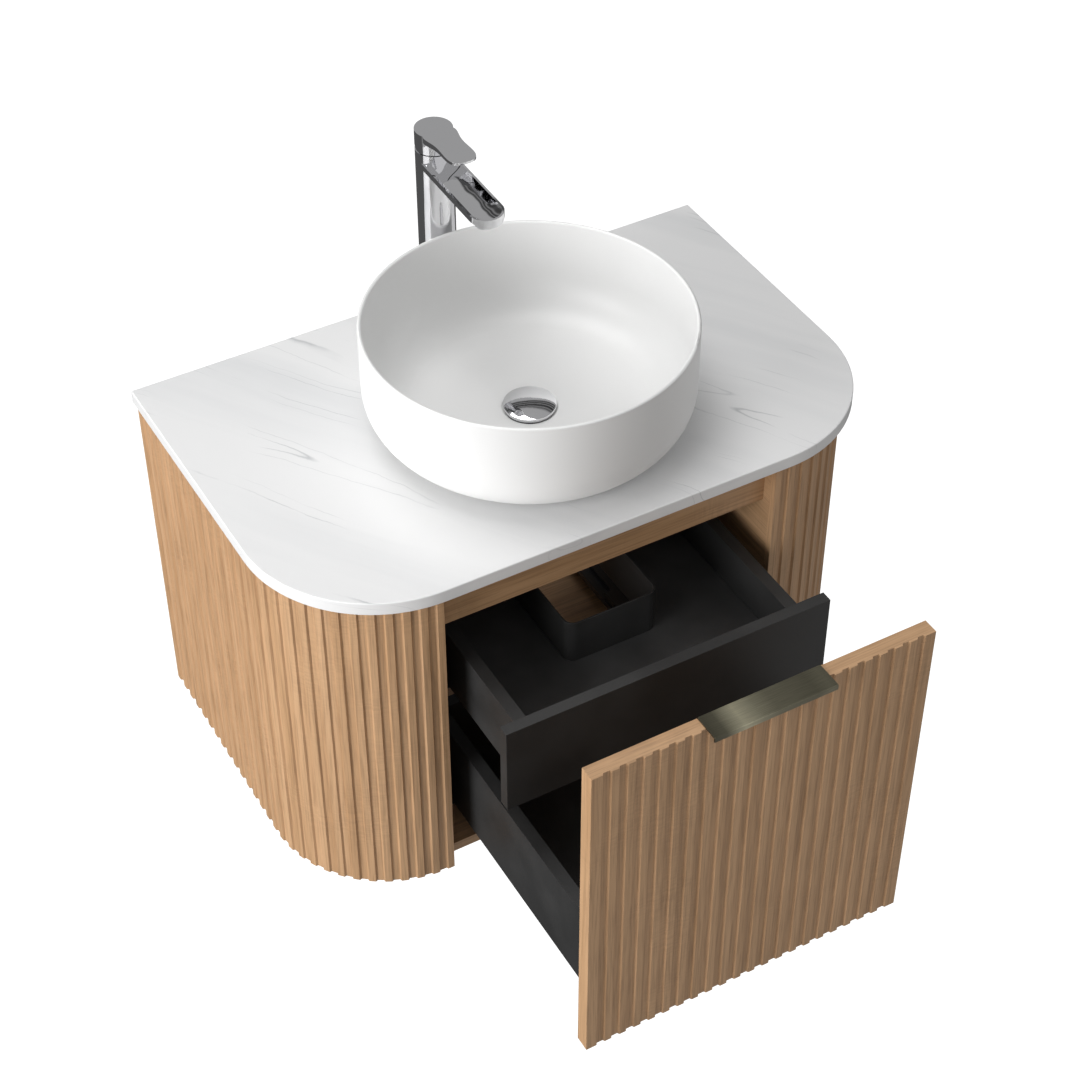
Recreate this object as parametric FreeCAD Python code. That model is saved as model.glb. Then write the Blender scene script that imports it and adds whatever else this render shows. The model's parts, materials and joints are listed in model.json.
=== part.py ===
import FreeCAD, Part
import math
import os

# Wall-hung vanity with a D-shaped stone-look top, a round vessel basin, a tall single-lever
# tap, and two drawers: a low one behind, and a deep one that carries the fluted front.
# Millimetres. +X is the user's right, the front faces -Y, +Z is up, and the wall is y = 0.
# The origin is the centre of the four wall bolts, on the wall.
# The model stands with both drawers pulled out and the tap and the waste closed.

V = FreeCAD.Vector
X_AXIS = V(1, 0, 0)
Y_AXIS = V(0, 1, 0)
Z_AXIS = V(0, 0, 1)

# ---- Driving dimensions -------------------------------------------------------------

# Countertop
COUNTER_W = 800.0
COUNTER_D = 500.0
COUNTER_T = 17.0
COUNTER_CORNER_R = 170.0
COUNTER_EDGE = 1.0

# Carcass
CABINET_H = 483.0
SIDE_INSET = 5.5
FRONT_INSET = 20.0
SKIN_CORNER_R = 162.0
SKIN_T = 9.0
BOARD_T = 15.0
OPENING_W = 448.0
FRONT_RAIL_H = 80.0
BACK_RAIL_H = 100.0
BOLT_SPACING_X = 406.4
WALL_BOLT_R = 4.0

# Fluting shared by the side skins and the deep drawer's front
SLAT_W = 9.0
SLAT_PITCH = 20.0
GROOVE_DEPTH = 2.6
GROOVE_DRAFT = 1.5
FRONT_BORDER = 14.0

# Drawers
LOWER_OPEN = 320.0
INNER_OPEN = 158.4
FRONT_T = 20.0
FRONT_SIDE_GAP = 3.5
FRONT_TOP_GAP = 9.8
FRONT_STOP_GAP = 2.0
BOX_W = 387.0
BOX_SIDE_T = 16.0
BOX_BOTTOM_T = 8.0
BOX_BOTTOM_RISE = 19.0
BOX_BACK_GAP = 42.0
LOWER_SIDE_RISE = 46.0
LOWER_SIDE_H = 125.0
LOWER_CLEARANCE = 20.0
INNER_SIDE_DROP = 154.0
INNER_SIDE_H = 89.0
INNER_FRONT_T = 15.0
INNER_FRONT_MARGIN = 19.0
INNER_FRONT_GAP = 3.0
INNER_FRONT_SIDE_GAP = 4.6

# Trap recess in the low drawer
RECESS_W = 126.0
RECESS_WALL = 2.0
RECESS_CORNER_R = 14.0
RECESS_FRONT_GAP = 116.0

# Runners under the drawers
RUNNER_END_GAP = 18.0
RUNNER_W = 20.0
RUNNER_WALL = 1.5
RUNNER_CHANNEL_H = 9.0
RUNNER_STACK_H = 20.0
RUNNER_FLANGE_H = 40.0
RUNNER_PLAY = 0.4
RUNNER_SIDE_GAP = 1.5
RUNNER_SCREWS = 3

# Brackets behind the deep drawer's front
BRACKET_W = 22.0
BRACKET_T = 2.0
BRACKET_MARGIN = 9.0

# Edge-pull handle
HANDLE_L = 158.0
HANDLE_T = 2.0
HANDLE_REACH = 15.5
HANDLE_LIP_H = 7.0
HANDLE_BACK_H = 32.0

# Screws
SCREW_R = 2.0
SCREW_HEAD_R = 3.8
SCREW_HEAD_H = 2.4
SCREW_L = 13.0
CARCASS_SCREW_L = 45.0
LOWER_BACK_SCREWS = 3
INNER_BACK_SCREWS = 2
DOWEL_R = 4.0
DOWEL_L = 30.0

# Basin
BASIN_R = 200.3
BASIN_H = 143.0
BASIN_WALL = 5.0
BASIN_OUTER_ROUND = 60.0
BASIN_INNER_ROUND = 54.0
BASIN_FLOOR_T = 12.0
BASIN_FLOOR_FALL = 5.0
BASIN_CENTRE_Y = -279.0

# Waste
DRAIN_HOLE_R = 22.5
DRAIN_SEAT_R = 34.0
DRAIN_SEAT_DEPTH = 2.0
DRAIN_FLANGE_R = 31.0
DRAIN_FLANGE_T = 2.0
DRAIN_THREAD_R = 20.9
DRAIN_BORE_R = 17.0
DRAIN_THREAD_DROP = 52.0
DRAIN_TAIL_R = 15.875
DRAIN_TAIL_WALL = 1.6
DRAIN_TAIL_L = 75.0
DRAIN_SEAL_T = 1.5
DRAIN_WASHER_T = 3.0
DRAIN_NUT_H = 8.0
DRAIN_NUT_R = 30.0
DRAIN_CAP_R = 32.4
DRAIN_CAP_T = 3.0
DRAIN_CAP_RISE = 4.5
DRAIN_CAP_GAP = 0.5
DRAIN_STEM_R = 3.15
DRAIN_GUIDE_DROP = 26.0
DRAIN_CAP_LIFT = 8.0
DRAIN_BOSS_R = 6.5
DRAIN_GUIDE_H = 10.0

# Tap
TAP_Y = -49.0
TAP_R = 23.5
TAP_TOP = 275.0
TAP_SEAL_T = 2.0
TAP_HOLE_R = 17.5
TAP_WALL = 3.5
TAP_BASE_T = 18.0
SHANK_R = 16.0
SHANK_DROP = 44.0
INLET_R = 4.6
INLET_DEPTH = 14.0
INLET_OFFSET = 8.0
SOCKET_R = 7.0
SOCKET_L = 16.0
RISER_SEAT_DEPTH = 7.0
RISER_R = 4.2
RISER_BORE_R = 3.0
TAP_WASHER_T = 3.0
TAP_NUT_H = 9.0
TAP_NUT_R = 23.0
CARTRIDGE_R = 16.0
CARTRIDGE_H = 28.0
CARTRIDGE_FLOOR_T = 14.0
RETAINER_R = 19.5
RETAINER_BORE_R = 14.6
RETAINER_H = 5.0
LEVER_SKIRT_H = 25.0
LEVER_GAP = 1.5
LEVER_REACH = 84.0
LEVER_NECK_W = 37.0
LEVER_NECK_Y = 32.0
LEVER_TIP_W = 36.0
LEVER_TIP_Y = 65.0
LEVER_TIP_T = 3.0
LEVER_ROOT_T = 8.0
LEVER_LIFT_DEG = 25.0
LEVER_HEEL_DEG = 27.0
LEVER_HEAD_DEG = 30.0
DOME_CLEARANCE = 0.7
STEM_R = 4.0
PIVOT_R = 1.5
PIVOT_L = 24.0
RUNNING_FIT = 0.05
SPOUT_W = 44.0
SPOUT_REACH = 150.0
SPOUT_TOP_DROP = 39.0
SPOUT_EDGE_T = 8.0
SPOUT_BELLY = 3.5
SPOUT_FALL_DEG = 1.0
SPOUT_RIM = 3.0
SPOUT_TROUGH = 4.0
SPOUT_WATERWAY_R = 2.5
AERATOR_R = 12.0
AERATOR_WALL = 3.0
AERATOR_L = 15.0
AERATOR_SINK = 5.0
AERATOR_Y = 126.0

# Clearance between plain pieces
FIT = 0.35

# ---- Derived places -----------------------------------------------------------------

BOLT_DROP = COUNTER_T + BACK_RAIL_H / 2
BOLT_SPACING_Z = CABINET_H - BACK_RAIL_H - BOARD_T
TOP = BOLT_DROP + BOLT_SPACING_Z / 2
UNDER = TOP - COUNTER_T
BASE = UNDER - CABINET_H

SKIN_X = COUNTER_W / 2 - SIDE_INSET
FRONT_Y = -(COUNTER_D - FRONT_INSET)
OPENING_X = OPENING_W / 2
CARCASS_Y = FRONT_Y + FRONT_T + FRONT_STOP_GAP

LOWER_FRONT_W = OPENING_W - 2 * FRONT_SIDE_GAP
LOWER_FRONT_TOP = UNDER - FRONT_TOP_GAP
BOX_X = BOX_W / 2
BOX_INNER_X = BOX_X - BOX_SIDE_T
BOX_BACK_Y = -BOX_BACK_GAP
INNER_SIDE_TOP = TOP - INNER_SIDE_DROP
INNER_SIDE_BASE = INNER_SIDE_TOP - INNER_SIDE_H
INNER_UNDER = INNER_SIDE_BASE + BOX_BOTTOM_RISE
LOWER_SIDE_BASE = BASE + LOWER_SIDE_RISE
LOWER_SIDE_LIMIT = INNER_SIDE_BASE - INNER_FRONT_MARGIN - LOWER_CLEARANCE
LOWER_SIDE_TOP = min(LOWER_SIDE_BASE + LOWER_SIDE_H, LOWER_SIDE_LIMIT)
LOWER_UNDER = LOWER_SIDE_BASE + BOX_BOTTOM_RISE
INNER_FRONT_Y = CARCASS_Y + INNER_FRONT_GAP
INNER_BOX_Y = INNER_FRONT_Y + INNER_FRONT_T
RECESS_Y = INNER_BOX_Y + RECESS_FRONT_GAP
BRACKET_BASE = LOWER_UNDER + BOX_BOTTOM_T + BRACKET_MARGIN
BRACKET_TOP = LOWER_SIDE_TOP - BRACKET_MARGIN
RUNNER_X = BOX_INNER_X - RUNNER_SIDE_GAP - RUNNER_W / 2
RUNNER_L = BOX_BACK_Y - INNER_BOX_Y - RUNNER_END_GAP

BASIN_FLOOR = TOP + BASIN_FLOOR_T
DRAIN_SEAT = BASIN_FLOOR - DRAIN_SEAT_DEPTH
DRAIN_FLANGE_Z = DRAIN_SEAT + DRAIN_SEAL_T
DRAIN_FLANGE_TOP = DRAIN_FLANGE_Z + DRAIN_FLANGE_T
DRAIN_THREAD_Z = UNDER - DRAIN_THREAD_DROP
DRAIN_TAIL_END = DRAIN_THREAD_Z - DRAIN_TAIL_L
DRAIN_GUIDE_Z = DRAIN_FLANGE_Z - DRAIN_GUIDE_DROP

TAP_BASE = TOP + TAP_SEAL_T
SKIRT_BOTTOM = TOP + TAP_TOP - LEVER_SKIRT_H
TAP_BODY_TOP = SKIRT_BOTTOM - LEVER_GAP
RETAINER_TOP = TAP_BODY_TOP - LEVER_GAP
CARTRIDGE_TOP = RETAINER_TOP - RETAINER_H
CARTRIDGE_Z = CARTRIDGE_TOP - CARTRIDGE_H
SHANK_BOTTOM = UNDER - SHANK_DROP
SOCKET_BOTTOM = SHANK_BOTTOM - SOCKET_L
SHANK_TOP = TAP_BASE + TAP_BASE_T
DOME_R = RETAINER_R
SPOUT_ROOT_Z = TOP + TAP_TOP - SPOUT_TOP_DROP
SPOUT_SLOPE = math.tan(math.radians(SPOUT_FALL_DEG))
AERATOR_TOP = SPOUT_ROOT_Z - SPOUT_EDGE_T - SPOUT_BELLY - AERATOR_Y * SPOUT_SLOPE + AERATOR_SINK


# ---- Helpers ------------------------------------------------------------------------

def box(x0, x1, y0, y1, z0, z1):
    """A block between two corners."""
    return Part.makeBox(x1 - x0, y1 - y0, z1 - z0, V(x0, y0, z0))


def cylinder(radius, base, length, axis=Z_AXIS):
    """A round bar from base along axis."""
    return Part.makeCylinder(radius, length, base, axis)


def ring(inner_r, outer_r, base, height):
    """A flat round washer or sleeve standing on base."""
    outer = cylinder(outer_r, base, height)
    return outer.cut(cylinder(inner_r, base, height))


def hexagon(across_flats, base, height):
    """A hexagonal bar standing on base."""
    radius = across_flats / math.sqrt(3)
    corners = [base + V(radius * math.cos(math.radians(a)), radius * math.sin(math.radians(a)), 0)
               for a in range(0, 420, 60)]
    return Part.Face(Part.makePolygon(corners)).extrude(V(0, 0, height))


def prism(points, z0, z1):
    """An upright prism on a closed plan of (x, y) corners."""
    corners = [V(x, y, z0) for x, y in points]
    return Part.Face(Part.makePolygon(corners + corners[:1])).extrude(V(0, 0, z1 - z0))


def spread(low, high, count):
    """Evenly spaced places between two ends, half a step in from each."""
    return [low + (high - low) * (i + 0.5) / count for i in range(count)]


def mirrored(shape):
    """The right-hand twin of a left-hand piece."""
    return shape.mirror(V(0, 0, 0), X_AXIS)


def moved(shape, dy):
    """A copy shifted along Y."""
    copy = shape.copy()
    copy.translate(V(0, dy, 0))
    return copy


def screw(head, direction, length):
    """A countersunk screw: head is the centre of the head's face, direction points in."""
    cone = Part.makeCone(SCREW_HEAD_R, SCREW_R, SCREW_HEAD_H, head, direction)
    return cone.fuse(cylinder(SCREW_R, head, length, direction))


def with_screw_holes(shape, screws):
    """The shape with each screw's own seat cut out of it."""
    for one in screws:
        shape = shape.cut(one)
    return shape


def save(name, shape):
    shape.exportStep("parts/" + name + ".step")


# ---- Countertop ---------------------------------------------------------------------

def d_plan(half_w, depth, corner_r, z):
    """A D-shaped plan: straight at the wall, a large radius at each front corner."""
    turn = corner_r * math.sin(math.radians(45))
    corner_x = half_w - corner_r
    corner_y = -(depth - corner_r)
    left = [V(-half_w, 0, z), V(-half_w, corner_y, z), V(-corner_x, -depth, z)]
    right = [V(corner_x, -depth, z), V(half_w, corner_y, z), V(half_w, 0, z)]
    left_mid = V(-corner_x - turn, corner_y - turn, z)
    right_mid = V(corner_x + turn, corner_y - turn, z)
    edges = [Part.LineSegment(left[0], left[1]).toShape(),
             Part.Arc(left[1], left_mid, left[2]).toShape(),
             Part.LineSegment(left[2], right[0]).toShape(),
             Part.Arc(right[0], right_mid, right[1]).toShape(),
             Part.LineSegment(right[1], right[2]).toShape(),
             Part.LineSegment(right[2], left[0]).toShape()]
    return Part.Face(Part.Wire(edges))


def countertop():
    """Sintered-stone slab with its tap hole and waste hole."""
    slab = d_plan(COUNTER_W / 2, COUNTER_D, COUNTER_CORNER_R, UNDER).extrude(V(0, 0, COUNTER_T))
    top_edges = [e for e in slab.Edges if all(abs(v.Z - TOP) < 1e-6 for v in e.Vertexes)]
    slab = slab.makeChamfer(COUNTER_EDGE, top_edges)
    slab = slab.cut(cylinder(TAP_HOLE_R, V(0, TAP_Y, UNDER), COUNTER_T))
    return slab.cut(cylinder(DRAIN_HOLE_R, V(0, BASIN_CENTRE_Y, UNDER), COUNTER_T))


# ---- Carcass ------------------------------------------------------------------------

def skin_point(s, depth):
    """Plan point on the left skin at distance s from the wall, depth in from its face."""
    straight = -FRONT_Y - SKIN_CORNER_R
    centre_x = -SKIN_X + SKIN_CORNER_R
    centre_y = FRONT_Y + SKIN_CORNER_R
    bend = SKIN_CORNER_R * math.pi / 2
    if s <= straight:
        return (-SKIN_X + depth, -s)
    if s >= straight + bend:
        return (centre_x + s - straight - bend, FRONT_Y + depth)
    angle = (s - straight) / SKIN_CORNER_R
    radius = SKIN_CORNER_R - depth
    return (centre_x - radius * math.cos(angle), centre_y - radius * math.sin(angle))


def fluted_skin():
    """Left outer skin: one bent panel with flat slats milled on its face."""
    straight = -FRONT_Y - SKIN_CORNER_R
    bend = SKIN_CORNER_R * math.pi / 2
    length = straight + bend + SKIN_X - SKIN_CORNER_R - OPENING_X
    grooves = int((length - SLAT_W) / SLAT_PITCH)
    pitch = (length - SLAT_W) / grooves
    outline = [skin_point(0, 0)]
    for i in range(grooves):
        start = SLAT_W + i * pitch
        end = (i + 1) * pitch
        middle = (start + end) / 2
        outline += [skin_point(start, 0), skin_point(start + GROOVE_DRAFT, GROOVE_DEPTH),
                    skin_point(middle, GROOVE_DEPTH),
                    skin_point(end - GROOVE_DRAFT, GROOVE_DEPTH), skin_point(end, 0)]
    outline.append(skin_point(length, 0))
    points = [V(x, y, BASE) for x, y in outline]
    back = [V(x, y, BASE) for x, y in (skin_point(length, SKIN_T), skin_point(straight + bend, SKIN_T),
                                       skin_point(straight + bend / 2, SKIN_T),
                                       skin_point(straight, SKIN_T), skin_point(0, SKIN_T))]
    edges = [Part.LineSegment(a, b).toShape() for a, b in zip(points, points[1:])]
    edges += [Part.LineSegment(points[-1], back[0]).toShape(),
              Part.LineSegment(back[0], back[1]).toShape(),
              Part.Arc(back[1], back[2], back[3]).toShape(),
              Part.LineSegment(back[3], back[4]).toShape(),
              Part.LineSegment(back[4], points[0]).toShape()]
    return Part.Face(Part.Wire(edges)).extrude(V(0, 0, CABINET_H))


def partition():
    """Left upright board that carries the runners and frames the drawer opening."""
    board = box(-OPENING_X - BOARD_T, -OPENING_X, FRONT_Y + SKIN_T, 0, BASE, UNDER).cut(fluted_skin())
    screws = carcass_screws("partition") + runner_screws(LOWER_UNDER) + runner_screws(INNER_UNDER)
    return with_screw_holes(board, screws)


def side_base():
    """Left D-shaped board that closes the side compartment from below."""
    plan = d_plan(SKIN_X - SKIN_T, -FRONT_Y - SKIN_T, SKIN_CORNER_R - SKIN_T, BASE)
    return plan.extrude(V(0, 0, BOARD_T)).common(
        box(-SKIN_X, -OPENING_X - BOARD_T, FRONT_Y, 0, BASE, BASE + BOARD_T))


def side_back():
    """Left board against the wall, between the skin and the partition."""
    return box(-SKIN_X + SKIN_T, -OPENING_X - BOARD_T, -BOARD_T, 0, BASE + BOARD_T, UNDER)


def bottom_panel():
    """Cabinet floor between the partitions."""
    board = box(-OPENING_X, OPENING_X, CARCASS_Y, 0, BASE, BASE + BOARD_T)
    return with_screw_holes(board, carcass_screws("bottom"))


def front_rail():
    """Plain rail under the front of the countertop."""
    rail = box(-OPENING_X, OPENING_X, CARCASS_Y, CARCASS_Y + BOARD_T, UNDER - FRONT_RAIL_H, UNDER)
    return with_screw_holes(rail, carcass_screws("front"))


def back_rail(z0):
    """Rail against the wall with two holes for the wall bolts."""
    rail = box(-OPENING_X, OPENING_X, -BOARD_T, 0, z0, z0 + BACK_RAIL_H)
    for x in (-BOLT_SPACING_X / 2, BOLT_SPACING_X / 2):
        rail = rail.cut(cylinder(WALL_BOLT_R, V(x, -BOARD_T, z0 + BACK_RAIL_H / 2), BOARD_T, Y_AXIS))
    return with_screw_holes(rail, carcass_screws("back"))


def carcass_screws(joint):
    """Screws driven through the partitions into the boards between them."""
    rail_y = CARCASS_Y + BOARD_T / 2
    back_y = -BOARD_T / 2
    floor_z = BASE + BOARD_T / 2
    rail_z = spread(UNDER - FRONT_RAIL_H, UNDER, 2)
    back_z = spread(UNDER - BACK_RAIL_H, UNDER, 2)
    back_z += spread(BASE + BOARD_T, BASE + BOARD_T + BACK_RAIL_H, 2)
    places = {"front": [(rail_y, z) for z in rail_z],
              "back": [(back_y, z) for z in back_z],
              "bottom": [(y, floor_z) for y in spread(CARCASS_Y, 0, 3)]}
    places["partition"] = places["front"] + places["back"] + places["bottom"]
    head_x = OPENING_X + BOARD_T
    screws = []
    for y, z in places[joint]:
        screws.append(screw(V(-head_x, y, z), X_AXIS, CARCASS_SCREW_L))
        screws.append(screw(V(head_x, y, z), -X_AXIS, CARCASS_SCREW_L))
    return screws


# ---- Runners ------------------------------------------------------------------------

def runner_channel(z0, opens_up, y0):
    """A pressed-steel channel on the left, open at the top or the bottom."""
    x0 = -RUNNER_X - RUNNER_W / 2
    x1 = -RUNNER_X + RUNNER_W / 2
    outer = box(x0, x1, y0, y0 + RUNNER_L, z0, z0 + RUNNER_CHANNEL_H)
    low = z0 + RUNNER_WALL if opens_up else z0
    high = low + RUNNER_CHANNEL_H - RUNNER_WALL
    inner = box(x0 + RUNNER_WALL, x1 - RUNNER_WALL, y0, y0 + RUNNER_L, low, high)
    return outer.cut(inner)


def cabinet_runner(drawer_under):
    """Left fixed member: a flange on the partition, an arm under the side, and a channel."""
    arm_z = drawer_under - RUNNER_STACK_H - RUNNER_WALL
    front = BOX_BACK_Y - RUNNER_L
    flange = box(-OPENING_X, -OPENING_X + RUNNER_WALL, front, BOX_BACK_Y, arm_z, arm_z + RUNNER_FLANGE_H)
    arm = box(-OPENING_X, -RUNNER_X + RUNNER_W / 2, front, BOX_BACK_Y, arm_z, arm_z + RUNNER_WALL)
    member = flange.fuse([arm, runner_channel(arm_z, True, front)]).removeSplitter()
    return with_screw_holes(member, runner_screws(drawer_under)[:RUNNER_SCREWS])


def runner_screws(drawer_under):
    """Screws that hold both fixed members to the partitions, left ones first."""
    z = drawer_under - RUNNER_STACK_H - RUNNER_WALL + RUNNER_FLANGE_H * 3 / 4
    screws = []
    for side in (-1, 1):
        for y in spread(BOX_BACK_Y - RUNNER_L, BOX_BACK_Y, RUNNER_SCREWS):
            head = V(side * (OPENING_X - RUNNER_WALL), y, z)
            screws.append(flange_screw(head, V(side, 0, 0)))
    return screws


def flange_screw(head, direction):
    """A screw whose flat head stands on a thin flange."""
    cap = cylinder(SCREW_HEAD_R, head - direction * SCREW_HEAD_H / 2, SCREW_HEAD_H / 2, direction)
    return cap.fuse(cylinder(SCREW_R, head, SCREW_L, direction))


def middle_runner(drawer_under, shift):
    """The two sliding middle members of one pair, each between its two channels."""
    z0 = drawer_under - RUNNER_STACK_H + RUNNER_PLAY
    z1 = drawer_under - RUNNER_WALL - RUNNER_PLAY
    half = RUNNER_W / 2 - RUNNER_WALL - RUNNER_PLAY
    y0 = BOX_BACK_Y - RUNNER_L - shift
    bars = [box(side * RUNNER_X - half, side * RUNNER_X + half, y0, y0 + RUNNER_L, z0, z1)
            for side in (-1, 1)]
    return Part.makeCompound(bars)


def drawer_runner(drawer_under, shift):
    """Left member screwed under the drawer's bottom."""
    y0 = BOX_BACK_Y - RUNNER_L - shift
    return runner_channel(drawer_under - RUNNER_CHANNEL_H, False, y0)


# ---- Deep drawer --------------------------------------------------------------------

def lower_front():
    """Fluted drawer front, one board with milled grooves and a rebate for the handle."""
    half = LOWER_FRONT_W / 2
    face = FRONT_Y
    floor = FRONT_Y + GROOVE_DEPTH
    back = FRONT_Y + FRONT_T
    grooves = int((LOWER_FRONT_W - 2 * FRONT_BORDER + SLAT_W) / SLAT_PITCH)
    pitch = (LOWER_FRONT_W - 2 * FRONT_BORDER + SLAT_W) / grooves
    plan = [(-half, back), (-half, face)]
    for i in range(grooves):
        start = -half + FRONT_BORDER + i * pitch
        end = start + pitch - SLAT_W
        plan += [(start, face), (start + GROOVE_DRAFT, floor), (end - GROOVE_DRAFT, floor), (end, face)]
    plan += [(half, face), (half, back)]
    board = prism(plan, BASE, LOWER_FRONT_TOP)
    rebate = box(-HANDLE_L / 2, HANDLE_L / 2, back - HANDLE_T, back,
                 LOWER_FRONT_TOP - HANDLE_BACK_H, LOWER_FRONT_TOP)
    board = board.cut(rebate)
    return moved(with_screw_holes(board, handle_screws() + front_screws()), -LOWER_OPEN)


def handle():
    """Edge pull bent from one strip: back flange, flat top and a short front lip."""
    back = FRONT_Y + FRONT_T
    front = FRONT_Y - HANDLE_REACH
    half = HANDLE_L / 2
    plate = box(-half, half, front, back, LOWER_FRONT_TOP, LOWER_FRONT_TOP + HANDLE_T)
    lip = box(-half, half, front, front + HANDLE_T,
              LOWER_FRONT_TOP + HANDLE_T - HANDLE_LIP_H, LOWER_FRONT_TOP)
    flange = box(-half, half, back - HANDLE_T, back, LOWER_FRONT_TOP - HANDLE_BACK_H, LOWER_FRONT_TOP)
    strip = plate.fuse([lip, flange]).removeSplitter()
    bends = [e for e in strip.Edges if abs(e.Length - HANDLE_L) < 1e-6
             and abs(e.Vertexes[0].Z - LOWER_FRONT_TOP - HANDLE_T) < 1e-6]
    strip = strip.makeFillet(HANDLE_T / 2, bends)
    return moved(with_screw_holes(strip, handle_screws()), -LOWER_OPEN)


def handle_screws():
    """Countersunk screws through the handle's flange, with the drawer closed."""
    z = LOWER_FRONT_TOP - HANDLE_BACK_H * 2 / 3
    return [screw(V(x, FRONT_Y + FRONT_T, z), -Y_AXIS, SCREW_L)
            for x in spread(-HANDLE_L / 2, HANDLE_L / 2, 3)]


def bracket_screw_heights():
    """Heights of the two screws in each leg of a bracket."""
    return spread(BRACKET_BASE, BRACKET_TOP, 2)


def front_screws():
    """Screws from the brackets into the front, with the drawer closed."""
    screws = []
    for side in (-1, 1):
        x = side * (BOX_INNER_X - BRACKET_W / 2)
        for z in bracket_screw_heights():
            screws.append(flange_screw(V(x, FRONT_Y + FRONT_T + BRACKET_T, z), -Y_AXIS))
    return screws


def front_brackets():
    """Angle brackets inside the box that carry the deep drawer's front."""
    back = FRONT_Y + FRONT_T
    brackets = []
    for side in (-1, 1):
        outer = side * BOX_INNER_X
        inner = outer - side * BRACKET_W
        edge = outer - side * BRACKET_T
        leg = box(min(outer, inner), max(outer, inner), back, back + BRACKET_T,
                  BRACKET_BASE, BRACKET_TOP)
        arm = box(min(outer, edge), max(outer, edge), back, back + BRACKET_W,
                  BRACKET_BASE, BRACKET_TOP)
        brackets.append(with_screw_holes(leg.fuse(arm).removeSplitter(), lower_screws()))
    return moved(Part.makeCompound(brackets), -LOWER_OPEN)


def side_screws(low, high, count):
    """Screws through both drawer sides into the ends of the back."""
    screws = []
    for z in spread(low, high, count):
        for side in (-1, 1):
            head = V(side * BOX_X, BOX_BACK_Y - BOX_SIDE_T / 2, z)
            screws.append(screw(head, V(-side, 0, 0), SCREW_L * 2))
    return screws


def lower_screws():
    """All the deep drawer's box screws, with the drawer closed."""
    screws = front_screws()
    screws += side_screws(LOWER_UNDER + BOX_BOTTOM_T, LOWER_SIDE_TOP, LOWER_BACK_SCREWS)
    for side in (-1, 1):
        for z in bracket_screw_heights():
            head = V(side * (BOX_INNER_X - BRACKET_T), FRONT_Y + FRONT_T + BRACKET_W * 2 / 3, z)
            screws.append(flange_screw(head, V(side, 0, 0)))
    return screws


def box_side(front_y, base, top, screws):
    """Left side of a drawer box."""
    board = box(-BOX_X, -BOX_INNER_X, front_y, BOX_BACK_Y, base, top)
    return with_screw_holes(board, screws)


def lower_back():
    """Back of the deep drawer, standing on its bottom."""
    board = box(-BOX_INNER_X, BOX_INNER_X, BOX_BACK_Y - BOX_SIDE_T, BOX_BACK_Y,
                LOWER_UNDER + BOX_BOTTOM_T, LOWER_SIDE_TOP)
    return with_screw_holes(board, lower_screws())


def lower_bottom():
    """Bottom of the deep drawer."""
    return box(-BOX_INNER_X, BOX_INNER_X, FRONT_Y + FRONT_T, BOX_BACK_Y,
               LOWER_UNDER, LOWER_UNDER + BOX_BOTTOM_T)


# ---- Low inner drawer ---------------------------------------------------------------

def inner_front():
    """Plain front of the low drawer, wider and taller than its box."""
    half = OPENING_X - INNER_FRONT_SIDE_GAP
    board = box(-half, half, INNER_FRONT_Y, INNER_BOX_Y,
                INNER_SIDE_BASE - INNER_FRONT_MARGIN, INNER_SIDE_TOP + INNER_FRONT_MARGIN)
    return with_screw_holes(board, inner_fixings())


def recess_plan(offset, z):
    """Plan of the trap recess, offset outwards, open towards the wall."""
    half = RECESS_W / 2 + offset
    radius = RECESS_CORNER_R + offset
    front = RECESS_Y - offset
    turn = radius * math.sin(math.radians(45))
    corner_x = half - radius
    corner_y = front + radius
    back = BOX_BACK_Y
    points = [V(-half, back, z), V(-half, corner_y, z), V(-corner_x, front, z),
              V(corner_x, front, z), V(half, corner_y, z), V(half, back, z)]
    edges = [Part.LineSegment(points[0], points[1]).toShape(),
             Part.Arc(points[1], V(-corner_x - turn, corner_y - turn, z), points[2]).toShape(),
             Part.LineSegment(points[2], points[3]).toShape(),
             Part.Arc(points[3], V(corner_x + turn, corner_y - turn, z), points[4]).toShape(),
             Part.LineSegment(points[4], points[5]).toShape(),
             Part.LineSegment(points[5], points[0]).toShape()]
    return Part.Face(Part.Wire(edges))


def inner_bottom():
    """Bottom of the low drawer with the cut-out for the trap."""
    board = box(-BOX_INNER_X, BOX_INNER_X, INNER_BOX_Y, BOX_BACK_Y,
                INNER_UNDER, INNER_UNDER + BOX_BOTTOM_T)
    cut = recess_plan(0, INNER_UNDER).extrude(V(0, 0, BOX_BOTTOM_T))
    return board.cut(cut)


def inner_recess():
    """Thin bent wall that lines the trap cut-out."""
    outer = recess_plan(0, INNER_UNDER).extrude(V(0, 0, INNER_SIDE_TOP - INNER_UNDER))
    inner = recess_plan(-RECESS_WALL, INNER_UNDER).extrude(V(0, 0, INNER_SIDE_TOP - INNER_UNDER))
    return outer.cut(inner)


def inner_back():
    """Left half of the low drawer's back, between its side and the recess."""
    board = box(-BOX_INNER_X, -RECESS_W / 2, BOX_BACK_Y - BOX_SIDE_T, BOX_BACK_Y,
                INNER_UNDER + BOX_BOTTOM_T, INNER_SIDE_TOP)
    return with_screw_holes(board, inner_fixings())


def inner_fixings():
    """The low drawer's screws at the back and hidden dowels in its front, drawer closed."""
    fixings = side_screws(INNER_UNDER + BOX_BOTTOM_T, INNER_SIDE_TOP, INNER_BACK_SCREWS)
    for side in (-1, 1):
        for z in spread(INNER_SIDE_BASE, INNER_SIDE_TOP, 2):
            start = V(side * (BOX_X - BOX_SIDE_T / 2), INNER_BOX_Y - DOWEL_L / 3, z)
            fixings.append(cylinder(DOWEL_R, start, DOWEL_L, Y_AXIS))
    return fixings


# ---- Basin and waste ----------------------------------------------------------------

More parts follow.
